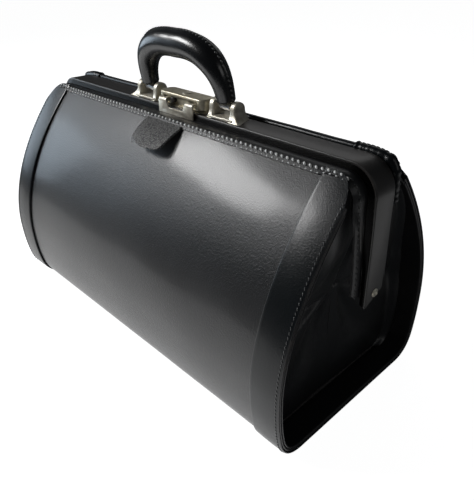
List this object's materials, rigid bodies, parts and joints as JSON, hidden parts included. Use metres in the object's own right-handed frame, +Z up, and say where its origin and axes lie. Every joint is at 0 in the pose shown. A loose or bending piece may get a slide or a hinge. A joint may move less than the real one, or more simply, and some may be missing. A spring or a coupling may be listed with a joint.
{
  "type": "doctor bag",
  "caption": "Black leather doctor bag with a barrel body, recessed soft ends, two pivoting mouth frames, sliding lock and folding handle.",
  "frame": {"origin": "ground point under the centre of the body's base", "axes": "+X along the bag's length, +Y to the back (the lock and pull tab face -Y), +Z up"},
  "size_m": [0.4372, 0.2014, 0.293],
  "materials": {
    "body_leather": "smooth glossy box calf",
    "trim_leather": "glossy",
    "gusset_leather": "soft, satin",
    "tab_leather": "grained",
    "handle_leather": "glossy",
    "lining": "woven",
    "base_card": "covered board",
    "frame_enamel": "semi-gloss black enamel",
    "nickel": "satin nickel",
    "steel": "bright"
  },
  "bodies": {
    "body": {"body_panel": "body_leather", "side_band_left": "trim_leather", "side_band_right": "trim_leather", "rim_facing_left": "trim_leather", "rim_facing_right": "trim_leather", "lining": "lining", "base_board": "base_card", "inner_pocket": "lining", "gusset_left": "gusset_leather", "gusset_right": "gusset_leather", "pivot_rivet_left": "nickel", "pivot_rivet_right": "nickel"},
    "front_frame": {"front_frame_rail": "frame_enamel", "front_binding": "trim_leather", "hasp": "nickel", "hasp_rivet_left": "nickel", "hasp_rivet_right": "nickel"},
    "back_frame": {"back_frame_strip": "frame_enamel", "back_welt": "trim_leather", "corner_wrap_left": "trim_leather", "corner_wrap_right": "trim_leather", "back_piping_left": "trim_leather", "back_piping_right": "trim_leather", "handle_bracket_left": "nickel", "handle_bracket_right": "nickel", "bracket_screw_left_inner": "steel", "bracket_screw_left_outer": "steel", "bracket_screw_right_inner": "steel", "bracket_screw_right_outer": "steel", "handle_pin_left": "nickel", "handle_pin_right": "nickel", "lock_case": "nickel", "lock_base": "steel", "lock_screw_left": "steel", "lock_screw_right": "steel", "lock_spring": "steel"},
    "handle": {"handle_grip": "handle_leather", "handle_core": "steel"},
    "lock_slider": {"lock_slide": "frame_enamel", "lock_bolt": "steel"},
    "key_cylinder": {"key_cylinder": "nickel"},
    "pull_tab": {"pull_tab": "tab_leather"}
  },
  "joints": [
    {"name": "front_frame_open", "type": "hinge", "parent": "body", "child": "front_frame", "pos_m": [0, 0, 0.119], "axis": [1, 0, 0], "range_deg": [0, 40], "deforming": ["body_panel", "side_band_left", "side_band_right", "rim_facing_left", "rim_facing_right", "lining", "gusset_left", "gusset_right"]},
    {"name": "back_frame_open", "type": "hinge", "parent": "body", "child": "back_frame", "pos_m": [0, 0, 0.119], "axis": [-1, 0, 0], "range_deg": [0, 40]},
    {"name": "handle_fold", "type": "hinge", "parent": "back_frame", "child": "handle", "pos_m": [0, 0, 0.2345], "axis": [1, 0, 0], "range_deg": [-84.4, 65.6]},
    {"name": "lock_slide", "type": "slide", "parent": "back_frame", "child": "lock_slider", "axis": [1, 0, 0], "range_m": [0, 0.006], "stiffness_N_per_m": 200},
    {"name": "key_turn", "type": "hinge", "parent": "back_frame", "child": "key_cylinder", "pos_m": [0, 0, 0.237], "axis": [0, 0, 1], "range_deg": [0, 90]},
    {"name": "pull_tab_lift", "type": "hinge", "parent": "front_frame", "child": "pull_tab", "pos_m": [0, -0.0315, 0.216], "axis": [-1, 0, 0], "range_deg": [-8, 60], "stiffness_Nm_per_rad": 0.02}
  ]
}
